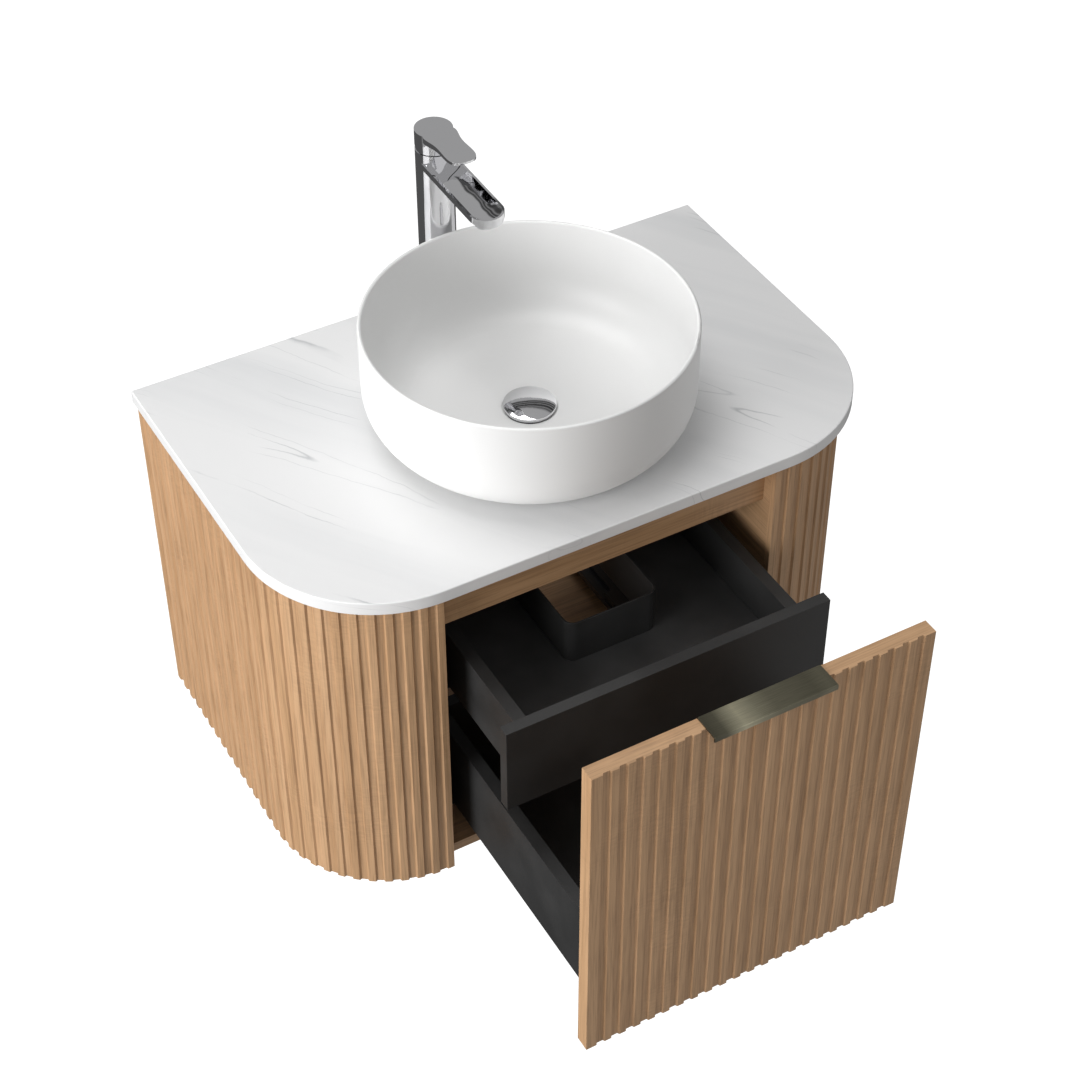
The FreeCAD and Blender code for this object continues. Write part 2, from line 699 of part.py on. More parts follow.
def revolved(points, centre_y):
    """A solid of revolution about the upright axis; an arc is three points in a tuple."""
    centre = V(0, centre_y, 0)
    edges = []
    for piece in points:
        corners = [centre + V(r, 0, z) for r, z in piece]
        if len(corners) == 2:
            edges.append(Part.LineSegment(corners[0], corners[1]).toShape())
        else:
            edges.append(Part.Arc(corners[0], corners[1], corners[2]).toShape())
    return Part.Face(Part.Wire(edges)).revolve(centre, Z_AXIS, 360)


def basin():
    """Round vessel basin: upright wall, rounded foot, floor that falls to the waste."""
    c45 = math.cos(math.radians(45))
    foot_r = BASIN_R - BASIN_OUTER_ROUND
    rim = TOP + BASIN_H
    lip = BASIN_WALL / 2
    inner_r = BASIN_R - BASIN_WALL
    bend_r = inner_r - BASIN_INNER_ROUND
    bend_z = BASIN_FLOOR + BASIN_FLOOR_FALL
    outer_c = TOP + BASIN_OUTER_ROUND
    inner_c = bend_z + BASIN_INNER_ROUND
    profile = [
        ((DRAIN_HOLE_R, TOP), (foot_r, TOP)),
        ((foot_r, TOP), (foot_r + BASIN_OUTER_ROUND * c45, outer_c - BASIN_OUTER_ROUND * c45),
         (BASIN_R, outer_c)),
        ((BASIN_R, outer_c), (BASIN_R, rim - lip)),
        ((BASIN_R, rim - lip), (BASIN_R - lip, rim), (inner_r, rim - lip)),
        ((inner_r, rim - lip), (inner_r, inner_c)),
        ((inner_r, inner_c), (bend_r + BASIN_INNER_ROUND * c45, inner_c - BASIN_INNER_ROUND * c45),
         (bend_r, bend_z)),
        ((bend_r, bend_z), (DRAIN_SEAT_R, BASIN_FLOOR)),
        ((DRAIN_SEAT_R, BASIN_FLOOR), (DRAIN_SEAT_R, DRAIN_SEAT)),
        ((DRAIN_SEAT_R, DRAIN_SEAT), (DRAIN_HOLE_R, DRAIN_SEAT)),
        ((DRAIN_HOLE_R, DRAIN_SEAT), (DRAIN_HOLE_R, TOP)),
    ]
    return revolved(profile, BASIN_CENTRE_Y)


def drain_body():
    """Waste fitting: flange, threaded barrel with a guide for the cap's stem, and a tail."""
    centre = V(0, BASIN_CENTRE_Y, 0)
    flange = cylinder(DRAIN_FLANGE_R, centre + V(0, 0, DRAIN_FLANGE_Z), DRAIN_FLANGE_T)
    barrel = cylinder(DRAIN_THREAD_R, centre + V(0, 0, DRAIN_THREAD_Z), DRAIN_FLANGE_Z - DRAIN_THREAD_Z)
    tail = cylinder(DRAIN_TAIL_R, centre + V(0, 0, DRAIN_TAIL_END), DRAIN_TAIL_L)
    solid = flange.fuse([barrel, tail])
    wide_z = DRAIN_THREAD_Z + DRAIN_THREAD_R - DRAIN_TAIL_R
    wide = cylinder(DRAIN_BORE_R, centre + V(0, 0, wide_z), DRAIN_FLANGE_TOP - wide_z)
    narrow = cylinder(DRAIN_TAIL_R - DRAIN_TAIL_WALL, centre + V(0, 0, DRAIN_TAIL_END),
                      wide_z - DRAIN_TAIL_END)
    solid = solid.cut(wide).cut(narrow)
    bridge = box(-DRAIN_BORE_R, DRAIN_BORE_R, BASIN_CENTRE_Y - DRAIN_BOSS_R / 3,
                 BASIN_CENTRE_Y + DRAIN_BOSS_R / 3, DRAIN_GUIDE_Z, DRAIN_GUIDE_Z + DRAIN_GUIDE_H)
    boss = cylinder(DRAIN_BOSS_R, centre + V(0, 0, DRAIN_GUIDE_Z), DRAIN_GUIDE_H)
    core = cylinder(DRAIN_THREAD_R - FIT, centre + V(0, 0, DRAIN_GUIDE_Z), DRAIN_GUIDE_H)
    solid = solid.fuse(bridge.fuse(boss).common(core)).removeSplitter()
    return solid.cut(cylinder(DRAIN_STEM_R + RUNNING_FIT, centre + V(0, 0, DRAIN_GUIDE_Z), DRAIN_GUIDE_H))


def drain_cap():
    """Domed click cap with its stem."""
    z0 = DRAIN_FLANGE_TOP + DRAIN_CAP_GAP
    edge = z0 + DRAIN_CAP_T
    stem_end = DRAIN_GUIDE_Z - DRAIN_CAP_LIFT
    dome_r = (DRAIN_CAP_R ** 2 + DRAIN_CAP_RISE ** 2) / (2 * DRAIN_CAP_RISE)
    half_r = DRAIN_CAP_R / 2
    half_z = edge + DRAIN_CAP_RISE - dome_r + math.sqrt(dome_r ** 2 - half_r ** 2)
    profile = [((0, stem_end), (DRAIN_STEM_R, stem_end)),
               ((DRAIN_STEM_R, stem_end), (DRAIN_STEM_R, z0)),
               ((DRAIN_STEM_R, z0), (DRAIN_CAP_R, z0)),
               ((DRAIN_CAP_R, z0), (DRAIN_CAP_R, edge)),
               ((DRAIN_CAP_R, edge), (half_r, half_z), (0, edge + DRAIN_CAP_RISE)),
               ((0, edge + DRAIN_CAP_RISE), (0, stem_end))]
    return revolved(profile, BASIN_CENTRE_Y)


def drain_ring(z, height):
    """A rubber ring round the waste barrel."""
    inner = DRAIN_THREAD_R + FIT
    return ring(inner, DRAIN_FLANGE_R - FIT, V(0, BASIN_CENTRE_Y, z), height)


def drain_nut():
    """Hexagonal lock nut that pulls the waste down on the countertop."""
    z = UNDER - DRAIN_WASHER_T - DRAIN_NUT_H
    base = V(0, BASIN_CENTRE_Y, z)
    nut = hexagon(DRAIN_NUT_R * math.sqrt(3), base, DRAIN_NUT_H)
    return nut.cut(cylinder(DRAIN_THREAD_R, base, DRAIN_NUT_H))


# ---- Tap ----------------------------------------------------------------------------

def tap_point(x, y, z):
    """A point given from the tap's own axis."""
    return V(x, TAP_Y + y, z)


def spout():
    """Flat spout: a blade with a round nose, a belly below and a trough above."""
    half = SPOUT_W / 2
    nose = SPOUT_REACH - half
    root_z = SPOUT_ROOT_Z
    fall = SPOUT_REACH * SPOUT_SLOPE
    low = root_z - SPOUT_EDGE_T - SPOUT_BELLY - fall
    section = [tap_point(-half, 0, root_z), tap_point(half, 0, root_z),
               tap_point(half, 0, root_z - SPOUT_EDGE_T)]
    belly = Part.Arc(section[2], tap_point(0, 0, root_z - SPOUT_EDGE_T - SPOUT_BELLY),
                     tap_point(-half, 0, root_z - SPOUT_EDGE_T)).toShape()
    edges = [Part.LineSegment(section[0], section[1]).toShape(),
             Part.LineSegment(section[1], section[2]).toShape(), belly,
             Part.LineSegment(tap_point(-half, 0, root_z - SPOUT_EDGE_T), section[0]).toShape()]
    blade = Part.Face(Part.Wire(edges)).extrude(V(0, -SPOUT_REACH, -fall))
    plan = box(-half, half, TAP_Y - nose, TAP_Y, low, root_z).fuse(
        cylinder(half, tap_point(0, -nose, low), root_z - low))
    blade = blade.common(plan)
    inner = half - SPOUT_RIM
    scoop_r = (inner ** 2 + SPOUT_TROUGH ** 2) / (2 * SPOUT_TROUGH)
    direction = V(0, -SPOUT_REACH, -fall)
    scoop = cylinder(scoop_r, tap_point(0, 0, root_z + scoop_r - SPOUT_TROUGH), SPOUT_REACH * 2, direction)
    hollow = box(-inner, inner, TAP_Y - nose, TAP_Y, low, root_z + SPOUT_TROUGH).fuse(
        cylinder(inner, tap_point(0, -nose, low), root_z + SPOUT_TROUGH - low))
    return blade.cut(scoop.common(hollow))


def tap_body():
    """Hollow column with the spout, the cartridge seat and the waterway."""
    height = TAP_BODY_TOP - TAP_BASE
    column = cylinder(TAP_R, tap_point(0, 0, TAP_BASE), height)
    body = column.fuse(spout())
    floor_z = CARTRIDGE_Z - CARTRIDGE_FLOOR_T
    body = body.cut(cylinder(TAP_R - TAP_WALL, tap_point(0, 0, SHANK_TOP), floor_z - SHANK_TOP))
    body = body.cut(cylinder(SHANK_R, tap_point(0, 0, TAP_BASE), TAP_BASE_T))
    body = body.cut(cylinder(CARTRIDGE_R + FIT, tap_point(0, 0, CARTRIDGE_Z), TAP_BODY_TOP - CARTRIDGE_Z))
    body = body.cut(cylinder(RETAINER_R + FIT, tap_point(0, 0, CARTRIDGE_TOP), TAP_BODY_TOP - CARTRIDGE_TOP))
    for x in (-INLET_OFFSET, INLET_OFFSET):
        body = body.cut(cylinder(RISER_R, tap_point(x, 0, floor_z), RISER_SEAT_DEPTH))
        body = body.cut(cylinder(RISER_BORE_R, tap_point(x, 0, floor_z), CARTRIDGE_FLOOR_T))
    waterway_z = SPOUT_ROOT_Z - (SPOUT_EDGE_T + SPOUT_BELLY + SPOUT_TROUGH) / 2
    outlet = CARTRIDGE_R - SPOUT_WATERWAY_R
    body = body.cut(cylinder(SPOUT_WATERWAY_R, tap_point(0, -outlet, waterway_z - outlet * SPOUT_SLOPE),
                             AERATOR_Y - outlet, V(0, -1, -SPOUT_SLOPE)))
    return body.cut(cylinder(AERATOR_R, tap_point(0, -AERATOR_Y, AERATOR_TOP - AERATOR_L), AERATOR_L))


def tap_aerator():
    """Round aerator let into the belly of the spout."""
    base = tap_point(0, -AERATOR_Y, AERATOR_TOP - AERATOR_L)
    return ring(AERATOR_R - AERATOR_WALL, AERATOR_R, base, AERATOR_L)


def tap_shank():
    """Threaded shank through the countertop, bored for the two riser tubes."""
    shank = cylinder(SHANK_R, tap_point(0, 0, SHANK_BOTTOM), SHANK_TOP - SHANK_BOTTOM)
    for x in (-INLET_OFFSET, INLET_OFFSET):
        shank = shank.cut(cylinder(RISER_R, tap_point(x, 0, SHANK_BOTTOM), SHANK_TOP - SHANK_BOTTOM))
    return shank


def tap_risers():
    """Hot and cold tubes inside the column, each brazed into a hose socket below the shank."""
    top = CARTRIDGE_Z - CARTRIDGE_FLOOR_T + RISER_SEAT_DEPTH
    foot = SOCKET_BOTTOM + INLET_DEPTH
    pieces = []
    for x in (-INLET_OFFSET, INLET_OFFSET):
        socket = ring(RISER_R, SOCKET_R, tap_point(x, 0, SOCKET_BOTTOM), SOCKET_L)
        pieces.append(socket.cut(cylinder(INLET_R, tap_point(x, 0, SOCKET_BOTTOM), INLET_DEPTH)))
        pieces.append(ring(RISER_BORE_R, RISER_R, tap_point(x, 0, foot), top - foot))
    return Part.makeCompound(pieces)


def tap_nut():
    """Hexagonal fixing nut under the countertop."""
    base = tap_point(0, 0, UNDER - TAP_WASHER_T - TAP_NUT_H)
    nut = hexagon(TAP_NUT_R * math.sqrt(3), base, TAP_NUT_H)
    return nut.cut(cylinder(SHANK_R, base, TAP_NUT_H))


def tap_cartridge():
    """Ceramic cartridge: the two inlets below, the outlet towards the spout."""
    body = cylinder(CARTRIDGE_R, tap_point(0, 0, CARTRIDGE_Z), CARTRIDGE_H)
    for x in (-INLET_OFFSET, INLET_OFFSET):
        body = body.cut(cylinder(RISER_BORE_R, tap_point(x, 0, CARTRIDGE_Z), CARTRIDGE_H / 2))
    return body


def tap_carrier():
    """Turning carrier of the cartridge: a neck, and a dome slotted for the stem."""
    neck_z = CARTRIDGE_TOP + FIT
    neck = cylinder(RETAINER_BORE_R - FIT, tap_point(0, 0, neck_z), TAP_BODY_TOP + FIT - neck_z)
    ball = Part.makeSphere(DOME_R, tap_point(0, 0, TAP_BODY_TOP))
    dome = ball.common(box(-TAP_R, TAP_R, TAP_Y - TAP_R, TAP_Y + TAP_R, TAP_BODY_TOP + FIT,
                           TAP_BODY_TOP + DOME_R))
    carrier = neck.fuse(dome).removeSplitter()
    half = STEM_R + FIT
    pocket = box(-half, half, TAP_Y - half, TAP_Y + half, TAP_BODY_TOP - half, TAP_BODY_TOP + DOME_R)
    slot = box(-half, half, TAP_Y, TAP_Y + TAP_R, TAP_BODY_TOP, TAP_BODY_TOP + DOME_R)
    carrier = carrier.cut(pocket).cut(slot)
    return carrier.cut(cylinder(PIVOT_R, tap_point(-PIVOT_L / 2, 0, TAP_BODY_TOP), PIVOT_L, X_AXIS))


def tap_pivot():
    """Steel pin that the stem tilts on."""
    return cylinder(PIVOT_R, tap_point(-PIVOT_L / 2, 0, TAP_BODY_TOP), PIVOT_L, X_AXIS)


def tap_stem():
    """Stem from the pivot up into the lever."""
    top = TOP + TAP_TOP - LEVER_ROOT_T / 2
    stem = cylinder(STEM_R, tap_point(0, 0, TAP_BODY_TOP), top - TAP_BODY_TOP)
    eye = cylinder(STEM_R, tap_point(-STEM_R, 0, TAP_BODY_TOP), STEM_R * 2, X_AXIS)
    stem = stem.fuse(eye).removeSplitter()
    bore = cylinder(PIVOT_R + RUNNING_FIT, tap_point(-STEM_R, 0, TAP_BODY_TOP), STEM_R * 2, X_AXIS)
    return stem.cut(bore)


def lever_plan(z):
    """Plan of the lever: a round head, a slight neck and a rounded tip."""
    neck = LEVER_NECK_W / 2
    tip = LEVER_TIP_W / 2
    leave = math.radians(LEVER_HEAD_DEG)
    head_x = TAP_R * math.cos(leave)
    head_y = -TAP_R * math.sin(leave)
    head = Part.Arc(tap_point(head_x, head_y, z), tap_point(0, TAP_R, z), tap_point(-head_x, head_y, z))
    left = Part.BSplineCurve()
    left.interpolate([tap_point(-head_x, head_y, z), tap_point(-neck, -LEVER_NECK_Y, z),
                      tap_point(-tip, -LEVER_TIP_Y, z)],
                     InitialTangent=V(-math.sin(leave), -math.cos(leave), 0) * TAP_R / 2,
                     FinalTangent=V(0, -1, 0) * TAP_R)
    right = Part.BSplineCurve()
    right.interpolate([tap_point(tip, -LEVER_TIP_Y, z), tap_point(neck, -LEVER_NECK_Y, z),
                       tap_point(head_x, head_y, z)],
                      InitialTangent=V(0, 1, 0) * TAP_R,
                      FinalTangent=V(-math.sin(leave), math.cos(leave), 0) * TAP_R / 2)
    nose = Part.BSplineCurve()
    nose.interpolate([tap_point(-tip, -LEVER_TIP_Y, z), tap_point(0, -LEVER_REACH, z),
                      tap_point(tip, -LEVER_TIP_Y, z)],
                     InitialTangent=V(0, -1, 0) * TAP_R, FinalTangent=V(0, 1, 0) * TAP_R)
    return Part.Face(Part.Wire([head.toShape(), left.toShape(), nose.toShape(), right.toShape()]))


def tap_lever():
    """Lever: a flat paddle on a round skirt, hollow over the dome."""
    top = TOP + TAP_TOP
    paddle = lever_plan(top - LEVER_ROOT_T).extrude(V(0, 0, LEVER_ROOT_T))
    wedge = Part.Face(Part.makePolygon([
        tap_point(-TAP_R * 2, -TAP_R / 2, top - LEVER_ROOT_T),
        tap_point(-TAP_R * 2, -LEVER_REACH * 2, top - LEVER_ROOT_T),
        tap_point(-TAP_R * 2, -LEVER_REACH * 2, top - LEVER_TIP_T),
        tap_point(-TAP_R * 2, -LEVER_REACH, top - LEVER_TIP_T),
        tap_point(-TAP_R * 2, -TAP_R / 2, top - LEVER_ROOT_T)])).extrude(V(TAP_R * 4, 0, 0))
    paddle = paddle.cut(wedge)
    skirt = cylinder(TAP_R, tap_point(0, 0, SKIRT_BOTTOM), LEVER_SKIRT_H)
    slant = math.radians(LEVER_HEEL_DEG)
    heel = Part.Face(Part.makePolygon([
        tap_point(-TAP_R * 2, 0, SKIRT_BOTTOM), tap_point(-TAP_R * 2, TAP_R * 2, SKIRT_BOTTOM),
        tap_point(-TAP_R * 2, TAP_R * 2, SKIRT_BOTTOM + TAP_R * 2 * math.tan(slant)),
        tap_point(-TAP_R * 2, 0, SKIRT_BOTTOM)])).extrude(V(TAP_R * 4, 0, 0))
    lever = paddle.fuse(skirt.cut(heel)).removeSplitter()
    lever = lever.cut(Part.makeSphere(DOME_R + DOME_CLEARANCE, tap_point(0, 0, TAP_BODY_TOP)))
    stem_top = top - LEVER_ROOT_T / 2
    return lever.cut(cylinder(STEM_R, tap_point(0, 0, TAP_BODY_TOP), stem_top - TAP_BODY_TOP))


# ---- Write every piece --------------------------------------------------------------

def build():
    pieces = {
        "countertop": countertop(),
        "basin": basin(),
        "drain_body": drain_body(),
        "drain_seal": drain_ring(DRAIN_SEAT, DRAIN_SEAL_T),
        "drain_washer": drain_ring(UNDER - DRAIN_WASHER_T, DRAIN_WASHER_T),
        "drain_nut": drain_nut(),
        "drain_cap": drain_cap(),
        "tap_body": tap_body(),
        "tap_seal": ring(SHANK_R + FIT, TAP_R - FIT, tap_point(0, 0, TOP), TAP_SEAL_T),
        "tap_shank": tap_shank(),
        "tap_risers": tap_risers(),
        "tap_washer": ring(SHANK_R + FIT, TAP_NUT_R, tap_point(0, 0, UNDER - TAP_WASHER_T), TAP_WASHER_T),
        "tap_nut": tap_nut(),
        "tap_cartridge": tap_cartridge(),
        "tap_retainer": ring(RETAINER_BORE_R, RETAINER_R, tap_point(0, 0, CARTRIDGE_TOP), RETAINER_H),
        "tap_aerator": tap_aerator(),
        "tap_carrier": tap_carrier(),
        "tap_pivot": tap_pivot(),
        "tap_stem": tap_stem(),
        "tap_lever": tap_lever(),
        "bottom_panel": bottom_panel(),
        "front_rail": front_rail(),
        "hanging_rail": back_rail(UNDER - BACK_RAIL_H),
        "lower_rail": back_rail(BASE + BOARD_T),
        "carcass_screws": Part.makeCompound(carcass_screws("partition")),
        "runner_screws": Part.makeCompound(runner_screws(LOWER_UNDER) + runner_screws(INNER_UNDER)),
        "lower_front": lower_front(),
        "handle": handle(),
        "front_brackets": front_brackets(),
        "lower_back": moved(lower_back(), -LOWER_OPEN),
        "lower_bottom": moved(lower_bottom(), -LOWER_OPEN),
        "lower_screws": moved(Part.makeCompound(lower_screws() + handle_screws()), -LOWER_OPEN),
        "lower_middle": middle_runner(LOWER_UNDER, LOWER_OPEN / 2),
        "inner_front": moved(inner_front(), -INNER_OPEN),
        "inner_bottom": moved(inner_bottom(), -INNER_OPEN),
        "inner_recess": moved(inner_recess(), -INNER_OPEN),
        "inner_fixings": moved(Part.makeCompound(inner_fixings()), -INNER_OPEN),
        "inner_middle": middle_runner(INNER_UNDER, INNER_OPEN / 2),
    }
    lower_side = box_side(FRONT_Y + FRONT_T, LOWER_SIDE_BASE, LOWER_SIDE_TOP, lower_screws())
    inner_side = box_side(INNER_BOX_Y, INNER_SIDE_BASE, INNER_SIDE_TOP, inner_fixings())
    pairs = {
        "partition": partition(),
        "skin": fluted_skin(),
        "side_base": side_base(),
        "side_back": side_back(),
        "lower_runner": cabinet_runner(LOWER_UNDER),
        "inner_runner": cabinet_runner(INNER_UNDER),
        "lower_side": moved(lower_side, -LOWER_OPEN),
        "lower_slide": drawer_runner(LOWER_UNDER, LOWER_OPEN),
        "inner_side": moved(inner_side, -INNER_OPEN),
        "inner_back": moved(inner_back(), -INNER_OPEN),
        "inner_slide": drawer_runner(INNER_UNDER, INNER_OPEN),
    }
    for name, shape in pairs.items():
        pieces[name + "_left"] = shape
        pieces[name + "_right"] = mirrored(shape)
    return pieces


def main():
    os.makedirs("parts", exist_ok=True)
    for name, shape in build().items():
        save(name, shape)


main()
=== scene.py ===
import json
import math

import bmesh
import bpy
from mathutils import Matrix, Vector

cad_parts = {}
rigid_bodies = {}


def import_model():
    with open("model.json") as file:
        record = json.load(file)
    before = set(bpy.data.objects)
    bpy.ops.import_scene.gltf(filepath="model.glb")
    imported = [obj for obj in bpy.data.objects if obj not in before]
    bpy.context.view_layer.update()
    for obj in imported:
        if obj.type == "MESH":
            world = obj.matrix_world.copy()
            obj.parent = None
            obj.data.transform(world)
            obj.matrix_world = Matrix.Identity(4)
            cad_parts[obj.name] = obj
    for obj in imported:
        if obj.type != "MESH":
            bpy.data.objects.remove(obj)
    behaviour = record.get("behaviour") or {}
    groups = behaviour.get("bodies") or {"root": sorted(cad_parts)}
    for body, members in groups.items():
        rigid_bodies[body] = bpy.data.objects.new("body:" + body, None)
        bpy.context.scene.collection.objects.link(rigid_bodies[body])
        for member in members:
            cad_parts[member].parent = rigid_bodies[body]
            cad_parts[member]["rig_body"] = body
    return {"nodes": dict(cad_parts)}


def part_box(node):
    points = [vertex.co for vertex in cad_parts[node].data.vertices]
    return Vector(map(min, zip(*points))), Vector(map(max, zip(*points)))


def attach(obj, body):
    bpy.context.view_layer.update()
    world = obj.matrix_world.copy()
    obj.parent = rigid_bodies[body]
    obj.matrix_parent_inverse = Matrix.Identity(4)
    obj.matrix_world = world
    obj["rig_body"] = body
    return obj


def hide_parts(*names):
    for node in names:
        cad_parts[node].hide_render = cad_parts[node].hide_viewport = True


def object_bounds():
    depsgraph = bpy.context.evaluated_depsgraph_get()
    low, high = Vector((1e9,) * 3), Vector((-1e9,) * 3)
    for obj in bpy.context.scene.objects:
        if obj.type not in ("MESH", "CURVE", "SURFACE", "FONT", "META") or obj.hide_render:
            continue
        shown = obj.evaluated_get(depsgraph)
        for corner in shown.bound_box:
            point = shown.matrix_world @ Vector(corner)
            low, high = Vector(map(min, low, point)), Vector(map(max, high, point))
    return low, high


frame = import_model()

# ---- The finished vanity's box ----------------------------------------------------------
# Metres, in the frame of the wall bolts: +X is the user's right, -Y is out of the wall
# and +Z is up. The box is kept at the start.

MM = 0.001
box_at_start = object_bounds()
low_corner, high_corner = box_at_start
middle = (low_corner + high_corner) / 2

# ---- Camera -----------------------------------------------------------------------------
# Stands in front of the vanity's left corner, above it, and looks down into the basin
# and the drawers through a long lens.

SENSOR_WIDTH = 36.0
LENS = 78.533
FAR_LIMIT = 30.0
CAMERA_PLACE = (-1.0659, -2.1879, 2.0568)
CAMERA_TURN = math.radians(-29.49)
CAMERA_TILT = math.radians(90.0 - 42.62)
CAMERA_ROLL = math.radians(-0.147)
camera_data = bpy.data.cameras.new("camera")
camera_data.sensor_width = SENSOR_WIDTH
camera_data.lens = LENS
camera_data.clip_end = FAR_LIMIT
camera = bpy.data.objects.new("camera", camera_data)
bpy.context.scene.collection.objects.link(camera)
camera.matrix_world = (Matrix.Translation(CAMERA_PLACE)
                       @ Matrix.Rotation(CAMERA_TURN, 4, "Z")
                       @ Matrix.Rotation(CAMERA_TILT, 4, "X")
                       @ Matrix.Rotation(CAMERA_ROLL, 4, "Z"))
bpy.context.scene.camera = camera

# ---- Studio -----------------------------------------------------------------------------
# A pale floor well below the hanging vanity, a large soft light low on the left, weaker
# ones overhead and in front, and a pale room whose far wall is striped for the chrome.


def add(finish, kind, inputs=None, **settings):
    """Adds a shader node; an input is a value or another node's output."""
    tree = finish.node_tree
    made = tree.nodes.new("ShaderNode" + kind)
    for name, value in settings.items():
        setattr(made, name, value)
    for name, value in (inputs or {}).items():
        if isinstance(value, bpy.types.NodeSocket):
            tree.links.new(value, made.inputs[name])
        else:
            made.inputs[name].default_value = value
    return made


def ramp(finish, amount, *stops):
    """Colours along an amount: each stop is (place, colour)."""
    made = add(finish, "ValToRGB", {"Fac": amount})
    for extra in stops[2:]:
        made.color_ramp.elements.new(extra[0])
    for element, (place, colour) in zip(made.color_ramp.elements, sorted(stops)):
        element.position = place
        element.color = (*colour, 1.0)
    return made.outputs["Color"]


def tones(finish, amount, *stops):
    """Greys along an amount: each stop is (place, tone)."""
    return ramp(finish, amount, *[(place, (tone, tone, tone)) for place, tone in stops])


def new_finish(name, roughness, metallic=0.0):
    """A material, its shader, and the piece's own coordinates."""
    finish = bpy.data.materials.new(name)
    finish.use_nodes = True
    shader = finish.node_tree.nodes["Principled BSDF"]
    shader.inputs["Roughness"].default_value = roughness
    shader.inputs["Metallic"].default_value = metallic
    place = add(finish, "TexCoord").outputs["Object"]
    return finish, shader, place


FLOOR_DROP = 0.9
FLOOR_SIDE = 30.0
FLOOR_COLOUR = (0.2, 0.2, 0.2, 1.0)
FLOOR_GLOW = (1.0, 1.0, 1.0, 1.0)
floor_finish, floor_shader, _ = new_finish("studio_floor", 0.9)
floor_shader.inputs["Base Color"].default_value = FLOOR_COLOUR
floor_shader.inputs["Emission Color"].default_value = FLOOR_GLOW
floor_shader.inputs["Emission Strength"].default_value = 1.0
floor_mesh = bpy.data.meshes.new("studio_floor")
bm = bmesh.new()
bmesh.ops.create_grid(bm, x_segments=1, y_segments=1, size=FLOOR_SIDE / 2,
                      matrix=Matrix.Translation((0, 0, low_corner.z - FLOOR_DROP)))
bm.to_mesh(floor_mesh)
bm.free()
floor_mesh.materials.append(floor_finish)
floor = bpy.data.objects.new("studio_floor", floor_mesh)
bpy.context.scene.collection.objects.link(floor)
floor.visible_diffuse = False
floor.visible_glossy = False

ROOM_STRENGTH = 0.44
OPEN_ROOM = (0.88, 0.88, 0.88, 1.0)
WALL_STRIPES = ((0.0, 0.2), (0.38, 0.2), (0.44, 0.8), (0.8, 0.84), (0.812, 0.15),
                (0.822, 0.1), (0.83, 0.55), (0.838, 0.1), (0.846, 0.08), (0.853, 0.6),
                (0.86, 0.12), (0.872, 0.06), (0.88, 0.55), (0.888, 0.15), (0.905, 0.85),
                (1.0, 0.9))
world = bpy.data.worlds.new("room")
world.use_nodes = True
bpy.context.scene.world = world
backdrop = world.node_tree.nodes["Background"]
backdrop.inputs["Strength"].default_value = ROOM_STRENGTH
outlook = add(world, "SeparateXYZ", {"Vector": add(world, "TexCoord").outputs["Generated"]})
rise = add(world, "MapRange", {"Value": outlook.outputs["Z"], "From Min": -1.0})
wall = tones(world, rise.outputs["Result"], *WALL_STRIPES)
towards_wall = tones(world, outlook.outputs["Y"], (0.05, 0.0), (0.2, 1.0))
room = add(world, "Mix", {"Factor": towards_wall, "A": OPEN_ROOM, "B": wall}, data_type="RGBA")
world.node_tree.links.new(room.outputs["Result"], backdrop.inputs["Color"])
bpy.context.scene.view_settings.view_transform = "Standard"


def soft_light(name, place, side, watts):
    """A square softbox that faces the middle of the vanity."""
    data = bpy.data.lights.new(name, "AREA")
    data.size = side
    data.energy = watts
    light = bpy.data.objects.new(name, data)
    light.location = place
    light.rotation_euler = (middle - Vector(place)).to_track_quat("-Z", "Y").to_euler()
    bpy.context.scene.collection.objects.link(light)


soft_light("left_light", (-3.3, -0.8, 0.9), side=2.2, watts=120.0)
soft_light("top_light", (-0.4, 0.4, 3.4), side=2.0, watts=52.0)
soft_light("front_light", (0.5, -3.0, 2.6), side=2.0, watts=4.0)

# ---- Countertop -------------------------------------------------------------------------
# A D-shaped slab of sintered stone, honed, with faint grey veins that run through it.
# It is glued on the cabinet, and the basin and the tap stand on it.


def piece_from(node, edge, finish, smooth_angle=35.0, segments=2):
    """Makes a CAD node's shape anew, with its sharp edges eased by edge metres."""
    weld = 0.004 * MM
    level = math.radians(0.3)
    corner = math.radians(40.0)
    source = frame["nodes"][node]
    bm = bmesh.new()
    bm.from_mesh(source.data)
    bmesh.ops.remove_doubles(bm, verts=bm.verts, dist=weld)
    bmesh.ops.dissolve_limit(bm, angle_limit=level, verts=bm.verts, edges=bm.edges)
    if edge:
        sharp = [e for e in bm.edges if e.is_manifold and e.calc_face_angle() > corner]
        bmesh.ops.bevel(bm, geom=sharp, offset=edge, offset_type="OFFSET", segments=segments,
                        profile=0.5, affect="EDGES", clamp_overlap=True, material=-1)
    mesh = bpy.data.meshes.new(node + "_finished")
    bm.to_mesh(mesh)
    bm.free()
    mesh.materials.clear()
    mesh.materials.append(finish)
    mesh.shade_smooth()
    mesh.set_sharp_from_angle(angle=math.radians(smooth_angle))
    piece = bpy.data.objects.new(node + "_finished", mesh)
    bpy.context.scene.collection.objects.link(piece)
    shading = piece.modifiers.new("even_shading", "WEIGHTED_NORMAL")
    shading.keep_sharp = True
    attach(piece, source["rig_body"])
    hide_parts(node)


def feed(shader, name, output):
    """Joins a node's output to one of the shader's inputs."""
    shader.id_data.links.new(output, shader.inputs[name])


def noise(finish, place, scale, detail):
    """A cloud of noise over the piece, as an amount between 0 and 1."""
    made = add(finish, "TexNoise", {"Vector": place, "Scale": scale, "Detail": detail})
    return made.outputs["Fac"]


